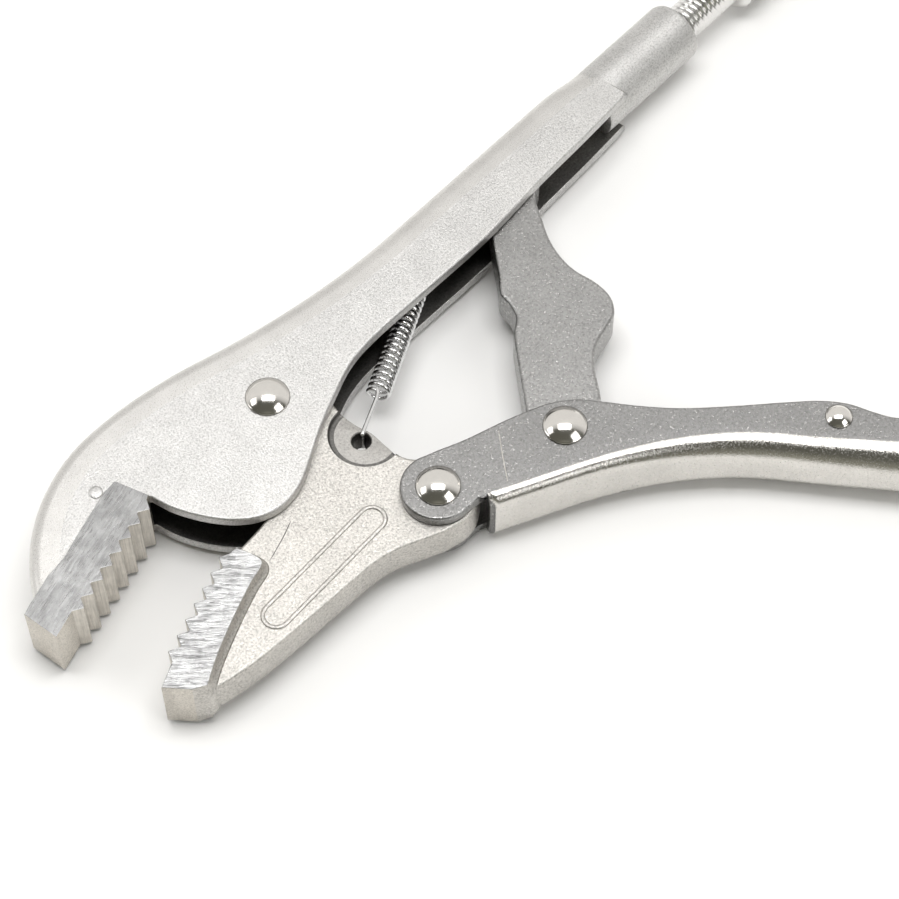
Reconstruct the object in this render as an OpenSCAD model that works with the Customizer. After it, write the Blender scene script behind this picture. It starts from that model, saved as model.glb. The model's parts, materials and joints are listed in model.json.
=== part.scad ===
// Locking pliers of the 250 mm class, lying on their side with the jaws open.
// Origin: main pivot axis, on the surface the pliers rest on.
// +X runs along the upper handle to the adjusting screw, +Y away from the lower handle, +Z up.

/* [Sheet metal] */
// Thickness of the pressed sheet of both handles
sheet_t = 2.5; // [2:0.1:3]
// Outside width of both pressed channels
channel_w = 14.4; // [13:0.2:16]
// Height of the formed rivet heads on the underside
foot_h = 1.2; // [0.8:0.1:1.6]

/* [Jaws] */
// Thickness of both jaws at the teeth
jaw_w = 14.8; // [14:0.2:16]
// Thickness of the lower jaw's body between the cheeks
jaw_body_w = 9.0; // [8:0.1:9.2]
// Distance from tooth to tooth
tooth_pitch = 3.8; // [3:0.1:5]
// Depth of the teeth
tooth_depth = 1.7; // [1:0.1:2.4]
// Radius of the hub that turns on the main rivet
hub_r = 11.5; // [9:0.5:12.5]
// Depth of the spot face round the spring hole
spot_depth = 1.2; // [0.6:0.1:2]
// Radius of the spring hole
spring_hole_r = 1.9; // [1.5:0.1:2.3]

/* [Pivots] */
// Main pivot to jaw and handle pivot, along X
jaw_pin_x = 8.1; // [7:0.1:9]
// Main pivot to jaw and handle pivot, along Y
jaw_pin_y = -40.8; // [-42:0.1:-40]
// Link pivot, along X
link_pin_x = 36.5; // [35:0.1:38]
// Link pivot, along Y
link_pin_y = -50.5; // [-52:0.1:-49]
// Release lever pivot, along X
lever_pin_x = 76.4; // [75:0.1:78]
// Release lever pivot, along Y
lever_pin_y = -91.2; // [-92:0.1:-90]
// Radius of the three large rivet heads
head_r = 4.75; // [4.2:0.05:5.2]
// Radius of the shank of the three large rivets
shank_r = 3.2; // [2.6:0.1:3.4]
// Radius of the small rivet head
small_head_r = 2.95; // [2.5:0.05:3.4]
// Radius of the small rivet shank
small_shank_r = 1.9; // [1.5:0.1:2.2]
// Height of the domed rivet heads
dome_h = 2.3; // [1.6:0.1:2.8]
// Radial running clearance at the turning pivots
pin_gap = 0.05; // [0.02:0.01:0.1]

/* [Link and release lever] */
// Thickness of the toggle link
link_t = 8.6; // [7:0.1:8.8]
// Width of the folded release lever
lever_w = 8.4; // [7:0.1:8.6]
// Sheet thickness of the release lever
lever_t = 1.8; // [1.4:0.1:2.2]

/* [Adjusting screw] */
// Major radius of the screw thread
screw_r = 4.5; // [4:0.05:4.6]
// Where the tip of the screw is, along X
screw_tip_x = 87; // [86:0.1:88]
// Height of the screw axis above the main pivot, along Y
screw_y = 3.76; // [3:0.02:4.4]
// Radius of the knurled knob
knob_r = 7.0; // [6:0.1:7.1]
// Length of the knurled knob
knob_len = 22; // [18:1:26]
// Thread that shows between the handle and the knob
thread_shown = 18; // [12:1:24]

/* [Opening spring] */
// Outside radius of the coils
coil_r = 2.7; // [2.4:0.1:2.9]
// Diameter of the spring wire
wire_d = 0.9; // [0.7:0.1:1.1]

/* [Hidden] */
$fn = 64;

// Levels along Z
cheek_lo = foot_h;
cheek_hi = foot_h + channel_w;
mid_z = foot_h + channel_w / 2;
inner_lo = cheek_lo + sheet_t;
inner_hi = cheek_hi - sheet_t;

jaw_pin = [jaw_pin_x, jaw_pin_y];
link_pin = [link_pin_x, link_pin_y];
lever_pin = [lever_pin_x, lever_pin_y];

// Outer line of each handle's spine. Every stretch is [length, turn, corner radius at its start];
// a start is [x, y, heading]. A positive turn bends to the left of the heading.
upper_start = [-65.5, 1.5, 60];
upper_spine = [[42.9, -60, 2.6], [24.4, -14, 3], [9.8, 0, 3.4], [46.9, 14, 3.8], [64, 0, 4.4]];
upper_leg = 8;
lower_start = [11, -51.25, -26.5];
lower_spine = [[19.4, 0, 2.8], [44.8, -28.5, 2.8], [26, 0, 5], [56, 18, 6]];
lower_leg = 7;
// Where the flat cheeks start, in from the outer line
cheek_inset = 6.3;
corner_steps = 4;
spine_steps = 8;

// Lower edge of the upper handle's cheeks, from the tube round the head to the jaw
upper_edge = [[112, -3.4], [97, -4.3], [80, -5.0], [62, -6.3], [44, -6.2], [27, -6], [18, -7],
    [10.5, -9.7], [2.5, -13.1], [-4.2, -16.6], [-10.2, -19.5], [-16, -20.4], [-21.3, -19],
    [-25.6, -15.6], [-29.3, -10.4], [-32.1, -4.2], [-33.3, 1.4]];
// Seam between the cheeks and the jaw, from the throat to the nose
seam = [[-33.3, 1.4], [-35.7, 8.9], [-39.2, 8.6], [-50, 5.3], [-55, 3.6], [-60, 3], [-67, 0.9]];

// Fixed jaw: line of the tooth roots, and the nose
upper_root_from = [-34.2, 1];
upper_root_to = [-62.4, -6.5];
upper_nose = [[-68.4, -8.3], [-69.2, 0.1], [-67, 0.9]];
upper_tongue = [[-54, 4.5], [-50, 10.5], [-42, 14.5], [-34, 15.5], [-27.5, 12.5], [-28.5, 6]];

// Moving jaw: line of the tooth roots, the nose and the raised tooth block
lower_root_from = [-31.6, -20.4];
lower_root_to = [-56.9, -29.2];
lower_nose = [[-62.2, -31.6], [-58.4, -36.4], [-55.7, -37.9]];
block_back = [[-49.8, -34.7], [-42, -31.3], [-34, -28.3], [-29.2, -26.9], [-28.7, -24.5],
    [-30, -20.4]];
// Body of the moving jaw, from the nose along the lower edge to the tail
jaw_lower_edge = [[-57.4, -37.2], [-53.3, -39], [-45, -40.6], [-34, -41.5], [-22, -42.1],
    [-12, -42.8], [-6.5, -44.3], [-2, -46.4], [2.6, -48.5]];
jaw_upper_edge = [[13.2, -33.6], [10.8, -31.2], [9.7, -28.6], [9.8, -24.4], [10, -20.3],
    [9.2, -16.4], [9.2, -11.5], [10.2, -7.6]];
jaw_throat_edge = [[-11.4, -6], [-12.2, -12], [-15.2, -16.6], [-20.5, -18.7], [-30, -19.6]];
jaw_tail_r = 8.8;
spot_centre = [8.4, -20.1];
spot_r = 7.8;
spring_hole = [7, -20.1];
panel_from = [-34.6, -36];
panel_to = [-5.6, -35];
panel_r = 3.1;
panel_rim = 0.7;
panel_h = 0.2;

// Upper edge of the lower handle's cheeks, from the tail end to the ear
lower_edge = [[121.6, -140.6], [117.5, -136.6], [108, -127.5], [97, -115.5], [88.5, -105.2],
    [84.2, -99.6], [82.3, -95.4], [80.4, -90.4], [77, -85.6], [71.5, -80.2], [64.5, -73.7],
    [56.5, -65.8], [50.8, -58.7], [46.6, -52.6], [43, -47.8], [38, -44], [30, -40.6],
    [20.5, -37.4], [14, -34.6], [10.6, -33.1]];
ear_r = 7.9;
relief_at = [8.9, -51.5];
relief_r = 2.6;
web_corner = [11.6, -50];

// Toggle link: both edges between its rivet and its nose
link_front = [[29.3, -47.4], [32.4, -44], [37.2, -38.6], [43.2, -31.6], [48, -26.2],
    [51.4, -23.8], [53, -20.6], [53.9, -17], [57.2, -13.6], [62.2, -7.4], [66.4, -2.6],
    [71, 0.4], [76, 2.6]];
link_nose_at = [80.1, 0.1];
link_nose_r = 4.1;
link_back = [[79.8, -4.4], [77.7, -6.2], [74.8, -10.6], [71.9, -15.2], [70, -20], [69.3, -25],
    [69.9, -30.4], [69.2, -35.2], [66.4, -38.6], [62, -39.9], [57.6, -41.1], [53.6, -44],
    [48.8, -49.8], [44.2, -54.2]];
link_foot_r = 7.6;

// Release lever: upper edge of its ears, and the path of its tail
lever_ear = [[61.5, -75], [60.9, -77.2], [63, -80], [68, -84.4], [71, -89], [72.4, -94.6],
    [76.6, -98.2], [82, -98.8], [84.4, -101.4], [86.2, -99.8], [83.4, -95.6], [80.9, -90.6],
    [77.6, -86.6], [72, -81.6], [66.2, -75.4], [63.5, -73.9]];
lever_nose = [62.9, -76];
lever_nose_r = 1.7;
lever_tail_start = [83.6, -98.2, -51];
lever_tail = [[14, 0], [36, 14], [8, -20]];

// Screw, thread tube and knob
tube_r = channel_w / 2;
tube_from = 108;
tube_to = 138;
knob_from = tube_to + thread_shown;
screw_point = 1.2;
knob_edge = 1.2;

// Spring: hook in the jaw, coils and anchor tab
coil_start = [18.9, -13.5];
coil_heading = 25.8;
coil_len = 33;
hook_at = [8.1, -19.5];
anchor_tab = [54.6, 3.4];
hook_drop = 0.6;
hook_lift = 1;
tab_t = 1.6;
tab_w = 5;

weld_at = [-40.1, 9.9];
weld_r = 1.5;
weld_h = 0.35;

steel = "#b9b7b4";
bright = "#d6d4d1";

// ---- curves and paths ----

function spline_at(a, b, c, d, t) =
    0.5 * ((2 * b) + (c - a) * t + (2 * a - 5 * b + 4 * c - d) * t * t
    + (3 * b - a - 3 * c + d) * t * t * t);

// Smooth open curve through a list of points
function smooth(p, steps = 3) = concat(
    [for (i = [0 : len(p) - 2], k = [0 : steps - 1])
        spline_at(p[max(i - 1, 0)], p[i], p[i + 1], p[min(i + 2, len(p) - 1)], k / steps)],
    [p[len(p) - 1]]);

function arc_points(centre, radius, from, to, steps) =
    [for (k = [0 : steps]) centre + radius * [cos(from + (to - from) * k / steps),
        sin(from + (to - from) * k / steps)]];

// Where a stretch ends when it starts at a pose [x, y, heading]
function advance(pose, length, turn) =
    turn == 0 ? [pose[0] + length * cos(pose[2]), pose[1] + length * sin(pose[2]), pose[2]] :
    let (radius = length / (turn * PI / 180), h = pose[2] + turn)
    [pose[0] + radius * (sin(h) - sin(pose[2])), pose[1] - radius * (cos(h) - cos(pose[2])), h];

function pose_at(path, start, i) =
    i == 0 ? start :
    let (before = pose_at(path, start, i - 1))
    advance(before, path[i - 1][0], path[i - 1][1]);

// Points beside a path, at a distance to its left
function beside(path, start, left, steps = 6) =
    [for (i = [0 : len(path) - 1], k = [0 : (i == len(path) - 1 ? steps : steps - 1)])
        let (p = advance(pose_at(path, start, i), path[i][0] * k / steps, path[i][1] * k / steps))
        [p[0] - left * sin(p[2]), p[1] + left * cos(p[2])]];

function reversed(list) = [for (i = [len(list) - 1 : -1 : 0]) list[i]];

// Zigzag of teeth with its roots on the line between two points, crests to the right of the
// line when depth > 0 and to its left when depth < 0
function teeth(from, to, depth) =
    let (span = norm(to - from), n = round(span / tooth_pitch), along = (to - from) / span,
        side = [along[1], -along[0]])
    [for (i = [0 : n]) each (i == n ? [to] :
        [from + along * span * i / n, from + along * span * (i + 0.5) / n + side * depth])];

// Slab with the given outline between two heights
module slab(points, lo, hi) {
    translate([0, 0, lo])
        linear_extrude(hi - lo)
            polygon(points);
}

module bore(at, radius) {
    translate([at[0], at[1], -1])
        cylinder(r = radius, h = cheek_hi + dome_h + 4);
}

// Outline of a channel seen along its spine, as [distance in from its back, height]
function section_line(leg, corner, inset) =
    let (lo = cheek_lo + inset, hi = cheek_hi - inset, c = inset + corner)
    concat([[leg, lo]],
        [for (p = arc_points([-c, lo + corner], corner, -90, 0, corner_steps)) [-p[0], p[1]]],
        [for (p = arc_points([-c, hi - corner], corner, 0, 90, corner_steps)) [-p[0], p[1]]],
        [[leg, hi]]);

function channel_section(leg, corner) =
    concat(section_line(leg, corner, 0),
        reversed(section_line(leg, max(corner - sheet_t, 0.5), sheet_t)));

// Folded spine that follows a path, its corner radius growing evenly along each stretch.
// side is 1 when the back of the channel is on the path's left
module folded_spine(path, start, leg, side) {
    stations = [for (i = [0 : len(path) - 1], k = [0 : spine_steps])
        if (k < spine_steps || i == len(path) - 1)
            let (t = k / spine_steps, pose = pose_at(path, start, i),
                p = advance(pose, path[i][0] * t, path[i][1] * t),
                c = path[i][2] + t * (path[min(i + 1, len(path) - 1)][2] - path[i][2]))
            [for (q = channel_section(leg, c))
                [p[0] + side * q[0] * sin(p[2]), p[1] - side * q[0] * cos(p[2]), q[1]]]];
    n = len(stations);
    m = len(stations[0]);
    skin = [for (i = [0 : n - 2], j = [0 : m - 1])
        let (a = i * m + j, b = i * m + (j + 1) % m)
        each [[a, b, b + m], [a, b + m, a + m]]];
    first = [for (j = [0 : m / 2 - 2]) each [[j, m - 2 - j, j + 1], [j, m - 1 - j, m - 2 - j]]];
    last = [for (f = first) [for (v = reversed(f)) v + (n - 1) * m]];
    faces = concat(skin, first, last);
    polyhedron(points = [for (line = stations) each line],
        faces = side < 0 ? faces : [for (f = faces) reversed(f)]);
}

module both_cheeks(points) {
    slab(points, cheek_lo, inner_lo);
    slab(points, inner_hi, cheek_hi);
}

// ---- fixed half ----

module upper_handle() {
    color(bright)
        difference() {
            union() {
                folded_spine(upper_spine, upper_start, upper_leg, 1);
                both_cheeks(concat(beside(upper_spine, upper_start, -cheek_inset), smooth(upper_edge)));
                thread_tube();
                spring_tab();
            }
            slab(concat(seam, [[-75, 0.9], [-75, -12], [-40, -12]]), -1, cheek_hi + 1);
            bore([0, 0], shank_r);
            screw_bore();
        }
}

// Round end of the handle that holds the screw's thread
module thread_tube() {
    translate([tube_from, screw_y, mid_z])
        rotate([0, 90, 0])
            cylinder(r = tube_r, h = tube_to - tube_from);
}

module screw_bore() {
    translate([tube_from - 1, screw_y, mid_z])
        rotate([0, 90, 0])
            cylinder(r = screw_r + pin_gap, h = tube_to - tube_from + 2);
}

// Tab bent in from the spine for the spring's rear hook
module spring_tab() {
    spine_in = advance(pose_at(upper_spine, upper_start, 4), 6, 0)[1] - sheet_t;
    difference() {
        translate([anchor_tab[0] - tab_t / 2, anchor_tab[1] - 2, mid_z - tab_w / 2])
            cube([tab_t, spine_in - anchor_tab[1] + 2.4, tab_w]);
        translate([anchor_tab[0] - tab_t, anchor_tab[1], mid_z])
            rotate([0, 90, 0])
                cylinder(r = 1.1, h = 2 * tab_t);
    }
}

module upper_jaw() {
    saw = teeth(upper_root_from, upper_root_to, -tooth_depth);
    color(steel) {
        slab(concat(saw, upper_nose, reversed(seam)), mid_z - jaw_w / 2, mid_z + jaw_w / 2);
        slab(concat([seam[4], seam[3], seam[2], seam[1], seam[0]], reversed(upper_tongue)),
            inner_lo, inner_hi);
    }
}

// Weld beads that hold the jaw in the cheeks, one on each side
module jaw_welds() {
    color(steel)
        for (lower = [0, 1])
            translate([weld_at[0], weld_at[1], lower == 1 ? cheek_lo : cheek_hi])
                mirror([0, 0, lower])
                    rotate_extrude()
                        polygon([[0, 0], [weld_r, 0], [0.8 * weld_r, 0.6 * weld_h],
                            [0.4 * weld_r, weld_h], [0, weld_h]]);
}

// Rivet with a domed head on top and a flattened head below
module rivet(at, radius, shank, dome) {
    sphere_r = (radius * radius + dome * dome) / (2 * dome);
    flat = 0.7 * radius;
    translate([at[0], at[1], 0])
        rotate_extrude()
            polygon(concat([[0, 0], [flat, 0], [radius - 0.3, 0.4], [radius, foot_h],
                [shank, foot_h], [shank, cheek_hi], [radius, cheek_hi]],
                [for (k = [1 : 11]) let (a = asin(radius / sphere_r) * (1 - k / 12))
                    [sphere_r * sin(a), cheek_hi + dome - sphere_r + sphere_r * cos(a)]],
                [[0, cheek_hi + dome]]));
}

module main_rivet() {
    color(bright)
        rivet([0, 0], head_r, shank_r, dome_h);
}

// ---- moving jaw ----

module lower_jaw() {
    body_lo = mid_z - jaw_body_w / 2;
    body_hi = mid_z + jaw_body_w / 2;
    saw = teeth(lower_root_from, lower_root_to, tooth_depth);
    outline = concat(smooth(jaw_lower_edge), arc_points(jaw_pin, jaw_tail_r, -110, 40, 14),
        smooth(jaw_upper_edge), arc_points([0, 0], hub_r, -26, 196, 18),
        smooth(jaw_throat_edge), [[-33, -24]]);
    color(steel)
        difference() {
            union() {
                slab(outline, body_lo, body_hi);
                slab(concat(saw, lower_nose, block_back), mid_z - jaw_w / 2, mid_z + jaw_w / 2);
                panel_rims(body_lo, body_hi);
            }
            bore([0, 0], shank_r + pin_gap);
            bore(jaw_pin, shank_r + pin_gap);
            bore(spring_hole, spring_hole_r);
            for (z = [body_lo - 1, body_hi - spot_depth])
                translate([spot_centre[0], spot_centre[1], z])
                    cylinder(r = spot_r, h = spot_depth + 1);
        }
}

// Raised rim of the blank oval panel, on both faces
module panel_rims(lo, hi) {
    for (z = [lo - panel_h, hi - 0.5])
        difference() {
            panel_oval(panel_r, z, 0.5 + panel_h);
            panel_oval(panel_r - panel_rim, z - 1, 3);
        }
}

module panel_oval(radius, z, height) {
    along = panel_to - panel_from;
    translate([panel_from[0], panel_from[1], z])
        rotate([0, 0, atan2(along[1], along[0])]) {
            cylinder(r = radius, h = height);
            translate([norm(along), 0, 0])
                cylinder(r = radius, h = height);
            translate([0, -radius, 0])
                cube([norm(along), 2 * radius, height]);
        }
}

// ---- lower handle and what it carries ----

module lower_handle() {
    cheek = concat(reversed(beside(lower_spine, lower_start, cheek_inset)), [web_corner],
        arc_points(jaw_pin, ear_r, -86, -290, 20), reversed(smooth(lower_edge)));
    color(steel)
        difference() {
            union() {
                folded_spine(lower_spine, lower_start, lower_leg, -1);
                both_cheeks(cheek);
            }
            bore(jaw_pin, shank_r);
            bore(link_pin, shank_r);
            bore(lever_pin, small_shank_r);
            bore(relief_at, relief_r);
        }
}

module toggle_link() {
    nose = arc_points(link_nose_at, link_nose_r, 118, -80, 12);
    foot = arc_points(link_pin, link_foot_r, -30, -198, 14);
    color(steel)
        difference() {
            slab(concat(smooth(link_front), nose, smooth(link_back), foot),
                mid_z - link_t / 2, mid_z + link_t / 2);
            bore(link_pin, shank_r + pin_gap);
        }
}

module release_lever() {
    lo = mid_z - lever_w / 2;
    hi = mid_z + lever_w / 2;
    left = beside(lever_tail, lever_tail_start, lever_t / 2);
    right = beside(lever_tail, lever_tail_start, -lever_t / 2);
    ears = smooth(concat(lever_ear, [lever_ear[0]]), 2);
    color(steel)
        difference() {
            union() {
                slab(ears, lo, lo + lever_t);
                slab(ears, hi - lever_t, hi);
                slab(concat(left, reversed(right)), lo, hi);
                translate([lever_nose[0], lever_nose[1], lo])
                    cylinder(r = lever_nose_r, h = lever_w);
            }
            bore(lever_pin, small_shank_r + pin_gap);
        }
}

module jaw_rivet() {
    color(bright)
        rivet(jaw_pin, head_r, shank_r, dome_h);
}

module link_rivet() {
    color(bright)
        rivet(link_pin, head_r, shank_r, dome_h);
}

module lever_rivet() {
    color(bright)
        rivet(lever_pin, small_head_r, small_shank_r, 0.7 * dome_h);
}

// ---- adjusting screw ----

module adjusting_screw() {
    color(bright)
        translate([screw_tip_x, screw_y, mid_z])
            rotate([0, 90, 0])
                rotate_extrude()
                    polygon([[0, 0], [screw_r - screw_point, 0], [screw_r, screw_point],
                        [screw_r, knob_from - screw_tip_x], [0, knob_from - screw_tip_x]]);
}

module screw_knob() {
    color(bright)
        translate([knob_from, screw_y, mid_z])
            rotate([0, 90, 0])
                rotate_extrude()
                    polygon([[0, 0], [knob_r - knob_edge, 0], [knob_r, knob_edge],
                        [knob_r, knob_len - knob_edge], [knob_r - knob_edge, knob_len],
                        [0, knob_len]]);
}

// ---- spring ----

module opening_spring() {
    color(bright) {
        translate([coil_start[0], coil_start[1], mid_z])
            rotate([0, 90, coil_heading])
                difference() {
                    cylinder(r = coil_r, h = coil_len);
                    translate([0, 0, -1])
                        cylinder(r = coil_r - wire_d, h = coil_len + 2);
                }
        front_hook();
        rear_hook();
    }
}

// Wire from the first coil up over the jaw and down into its hole
module front_hook() {
    coil_end = [coil_start[0], coil_start[1], mid_z + coil_r - hook_drop];
    top = [hook_at[0], hook_at[1], mid_z + jaw_body_w / 2 - spot_depth + hook_lift];
    run = coil_end - top;
    translate(top)
        rotate([0, acos(run[2] / norm(run)), atan2(run[1], run[0])])
            cylinder(d = wire_d, h = norm(run) + 0.6);
    translate([top[0], top[1], mid_z - 1])
        cylinder(d = wire_d, h = top[2] - mid_z + 1);
}

// Wire from the last coil to the tab
module rear_hook() {
    end = advance([coil_start[0], coil_start[1], coil_heading], coil_len, 0);
    run = [anchor_tab[0] - end[0], anchor_tab[1] - end[1]];
    translate([end[0], end[1], mid_z + coil_r - hook_drop])
        rotate([0, 90, coil_heading])
            translate([0, 0, -0.4])
                cylinder(d = wire_d, h = norm(run));
}

upper_handle();
upper_jaw();
jaw_welds();
lower_jaw();
lower_handle();
toggle_link();
release_lever();
adjusting_screw();
screw_knob();
opening_spring();
main_rivet();
jaw_rivet();
link_rivet();
lever_rivet();
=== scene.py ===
import json
import math

import bmesh
import bpy
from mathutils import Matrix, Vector


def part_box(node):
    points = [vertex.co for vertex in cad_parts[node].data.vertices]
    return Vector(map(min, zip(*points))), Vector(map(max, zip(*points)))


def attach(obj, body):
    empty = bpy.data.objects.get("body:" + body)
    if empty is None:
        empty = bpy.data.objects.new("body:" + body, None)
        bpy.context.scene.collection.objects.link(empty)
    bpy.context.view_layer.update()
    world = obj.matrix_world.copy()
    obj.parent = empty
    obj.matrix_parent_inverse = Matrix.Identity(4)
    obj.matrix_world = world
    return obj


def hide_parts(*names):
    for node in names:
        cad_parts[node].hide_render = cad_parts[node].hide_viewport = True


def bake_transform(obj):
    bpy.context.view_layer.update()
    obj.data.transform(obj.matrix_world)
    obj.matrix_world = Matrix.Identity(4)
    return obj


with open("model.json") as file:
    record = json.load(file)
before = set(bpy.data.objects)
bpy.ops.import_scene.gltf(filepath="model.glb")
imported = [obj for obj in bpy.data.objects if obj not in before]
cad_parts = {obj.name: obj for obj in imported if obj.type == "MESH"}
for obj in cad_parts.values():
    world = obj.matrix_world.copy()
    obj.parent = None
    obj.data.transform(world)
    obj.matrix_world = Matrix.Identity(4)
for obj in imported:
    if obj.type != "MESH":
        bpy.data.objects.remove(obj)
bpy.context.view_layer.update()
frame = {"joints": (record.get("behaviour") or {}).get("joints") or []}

MM = 0.001

# ---- sizes taken from the frame, in millimetres ----


def box_mm(node):
    low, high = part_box(node)
    return low / MM, high / MM


HANDLE_LOW, HANDLE_HIGH = box_mm("upper_handle")
CHEEK_LOW = HANDLE_LOW.z
CHEEK_HIGH = HANDLE_HIGH.z
MID = (CHEEK_LOW + CHEEK_HIGH) / 2
JOINTS = {j["name"]: j for j in frame["joints"]}


def pivot(name):
    x, y, _ = JOINTS[name]["pos_m"]
    return x / MM, y / MM


JAW_PIVOT = pivot("jaw_pivot")
HANDLE_PIVOT = pivot("handle_pivot")
LINK_PIVOT = pivot("link_pivot")
LEVER_PIVOT = pivot("release_pivot")

# ---- sheet, edges and outlines, in millimetres in the row frame ----

SHEET = 2.5
OUTER_EDGE = 0.55
INNER_EDGE = 0.25
FOLD_INSET = 6.4
NEAR_AXIS = 0.02  # stands for a point on the axis of a turned piece

UPPER_START = (-65.5, 1.5, 60)
UPPER_PATH = [(42.9, -60, 2.6), (24.4, -14, 3), (9.8, 0, 3.4), (46.9, 14, 3.8), (64, 0, 4.4)]
UPPER_EDGE = [(112, -3.4), (97, -4.3), (80, -5.0), (62, -6.3), (44, -6.2), (27, -6), (18, -7),
              (10.5, -9.7), (2.5, -13.1), (-4.2, -16.6), (-10.2, -19.5), (-16, -20.4),
              (-21.3, -19), (-25.6, -15.6), (-29.3, -10.4), (-32.1, -4.2), (-33.3, 1.4)]
SEAM = [(-33.3, 1.4), (-35.7, 8.9), (-39.2, 8.6), (-50, 5.3), (-55, 3.6), (-60, 3), (-67, 0.9)]
LOWER_START = (12.34, -51.92, -26.5)
LOWER_PATH = [(17.9, 0, 2.8), (44.8, -28.5, 2.8), (26, 0, 5), (56, 18, 6)]
LOWER_EDGE = [(121.6, -140.6), (117.5, -136.6), (108, -127.5), (97, -115.5), (88.5, -105.2),
              (84.2, -99.6), (82.3, -95.4), (80.4, -90.4), (77, -85.6), (71.5, -80.2),
              (64.5, -73.7), (56.5, -65.8), (50.8, -58.7), (46.6, -52.6), (43, -47.8),
              (38, -44), (30, -40.6), (20.5, -37.4), (14.6, -34.9)]
EAR_R = 7.9
NOTCH_AT = (10.4, -51.8)
NOTCH_R = 2.7

TOOTH_PITCH = 3.8
TOOTH_DEPTH = 1.7
TOOTH_FLAT = 0.12
EDGE_BREAK = 0.16
FLANK_REACH = 3.2
JAW_W = 14.8
UPPER_ROOTS = ((-34.2, 1), (-62.4, -6.5))
UPPER_NOSE = [(-68.4, -8.3), (-69.2, 0.1), (-67, 0.9)]
LOWER_ROOTS = ((-31.6, -20.4), (-56.9, -29.2))
LOWER_NOSE = [(-62.2, -31.6), (-58.4, -36.4), (-55.7, -37.9)]
BLOCK_BACK = [(-49.8, -34.7), (-42, -31.3), (-34, -28.3), (-29.2, -26.9), (-28.7, -24.5),
              (-30, -20.4)]
JAW_LOWER_EDGE = [(-57.4, -37.2), (-53.3, -39), (-45, -40.6), (-34, -41.5), (-22, -42.1),
                  (-12, -42.8), (-6.5, -44.3), (-2, -46.4), (2.6, -48.5)]
JAW_UPPER_EDGE = [(13.2, -33.6), (10.8, -31.2), (9.7, -28.6), (9.8, -24.4), (10, -20.3),
                  (9.2, -16.4), (9.2, -11.5), (10.2, -7.6)]
JAW_THROAT = [(-11.4, -6), (-12.2, -12), (-15.2, -16.6), (-20.5, -18.7), (-30, -19.6)]
JAW_TAIL_R = 8.8
HUB_R = 11.5
BODY_W = 9.0
SPOT_AT = (8.4, -20.1)
SPOT_R = 7.8
SPOT_DEPTH = 1.2
SPRING_HOLE = (7, -20.1)
SPRING_HOLE_R = 1.9
PANEL = ((-34.6, -36), (-5.6, -35))
PANEL_R = 2.75

LINK_FRONT = [(29.3, -47.4), (32.4, -44), (37.2, -38.6), (43.2, -31.6), (48, -26.2),
              (51.4, -23.8), (53, -20.6), (53.9, -17), (57.2, -13.6), (62.2, -7.4),
              (66.4, -2.6), (71, 0.4), (76, 2.6)]
LINK_NOSE = ((80.1, 0.1), 4.1)
LINK_BACK = [(79.8, -4.4), (77.7, -6.2), (74.8, -10.6), (71.9, -15.2), (70, -20), (69.3, -25),
             (69.9, -30.4), (69.2, -35.2), (66.4, -38.6), (62, -39.9), (57.6, -41.1),
             (53.6, -44), (48.8, -49.8), (44.2, -54.2)]
LINK_FOOT_R = 7.6
LINK_W = 8.6

LEVER_EAR = [(61.5, -75), (60.9, -77.2), (63, -80), (68, -84.4), (71, -89), (72.4, -94.6),
             (76.6, -98.2), (82, -98.8), (84.4, -101.4), (86.2, -99.8), (83.4, -95.6),
             (80.9, -90.6), (77.6, -86.6), (72, -81.6), (66.2, -75.4), (63.5, -73.9)]
LEVER_NOSE = ((62.9, -76), 1.7)
LEVER_START = (83.6, -98.2, -51)
LEVER_TAIL = [(14, 0, 0), (36, 14, 0), (8, -20, 0)]
LEVER_W = 8.4
LEVER_T = 1.8

COIL_START = Vector((18.9, -13.5))
COIL_HEADING = 25.8
COIL_LEN = 33
COIL_R = 2.7
WIRE_D = 0.9
COIL_PITCH = 1.5
HOOK_AT = Vector((8.1, -19.5))
TAB_AT = Vector((54.6, 3.4))

# ---- curves and outlines ----


def smooth_line(points, steps=6):
    """Smooth open curve through points."""
    out = []
    last = len(points) - 1
    for i in range(last):
        a, b = points[max(i - 1, 0)], points[i]
        c, d = points[i + 1], points[min(i + 2, last)]
        for k in range(steps):
            t = k / steps
            out.append(tuple(
                0.5 * (2 * b[n] + (c[n] - a[n]) * t
                       + (2 * a[n] - 5 * b[n] + 4 * c[n] - d[n]) * t * t
                       + (3 * b[n] - a[n] - 3 * c[n] + d[n]) * t ** 3)
                for n in range(len(b))))
    out.append(tuple(points[last]))
    return out


def arc(centre, radius, start, end, steps):
    return [(centre[0] + radius * math.cos(math.radians(start + (end - start) * k / steps)),
             centre[1] + radius * math.sin(math.radians(start + (end - start) * k / steps)))
            for k in range(steps + 1)]


def ease(t):
    """Smooth step from 0 to 1."""
    return t * t * (3 - 2 * t)


def advance(pose, length, turn):
    x, y, h = pose
    a = math.radians(h)
    if turn == 0:
        return x + length * math.cos(a), y + length * math.sin(a), h
    radius = length / math.radians(turn)
    b = math.radians(h + turn)
    return (x + radius * (math.sin(b) - math.sin(a)),
            y - radius * (math.cos(b) - math.cos(a)), h + turn)


def stations(path, start, spacing=1.6):
    """Places along a path as (x, y, heading, corner radius)."""
    out = []
    pose = start
    for i, (length, turn, corner) in enumerate(path):
        following = path[min(i + 1, len(path) - 1)][2]
        steps = max(2, round(length / spacing))
        final = i == len(path) - 1
        for k in range(steps + (1 if final else 0)):
            t = k / steps
            p = advance(pose, length * t, turn * t)
            out.append((p[0], p[1], p[2], corner + ease(t) * (following - corner)))
        pose = advance(pose, length, turn)
    return out


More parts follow.
